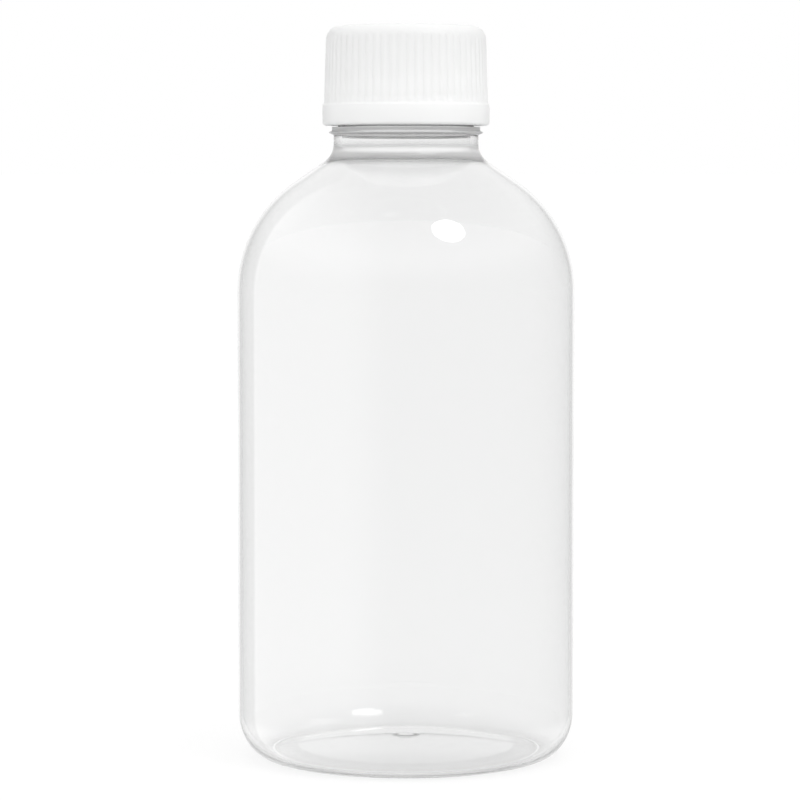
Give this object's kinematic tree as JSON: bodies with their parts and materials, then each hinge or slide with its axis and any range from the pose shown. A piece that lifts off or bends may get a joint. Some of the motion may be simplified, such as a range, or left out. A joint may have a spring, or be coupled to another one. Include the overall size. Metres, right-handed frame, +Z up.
{
  "type": "sanitizer bottle",
  "caption": "Clear round bottle with a domed shoulder, a short beaded neck and a pushed-up base, closed by a white ribbed screw cap with a foam liner.",
  "frame": {"origin": "middle of the circle that the bottle stands on", "axes": "+Z up along the bottle's axis, from the base to the cap"},
  "size_m": [0.062, 0.062, 0.1343],
  "materials": {
    "clear_shell": "clear blown polyester, glossy, faintly cool",
    "white_cap": "white moulded polypropylene, satin",
    "foam_liner": "pale closed-cell foam, matte"
  },
  "bodies": {
    "bottle": {"bottle": "clear_shell"},
    "liner": {"liner": "foam_liner"},
    "cap": {"cap": "white_cap"}
  },
  "joints": [
    {"name": "cap_lift", "type": "slide", "parent": "bottle", "child": "liner", "axis": [0, 0, 1], "range_m": [0, 0.017]},
    {"name": "cap_turn", "type": "hinge", "parent": "liner", "child": "cap", "pos_m": [0, 0, 0.1252], "axis": [0, 0, 1], "range_deg": [0, 1440]}
  ],
  "couplings": [
    {"joint": "cap_lift", "follows": "cap_turn", "m_per_rad": 0.00067323}
  ]
}
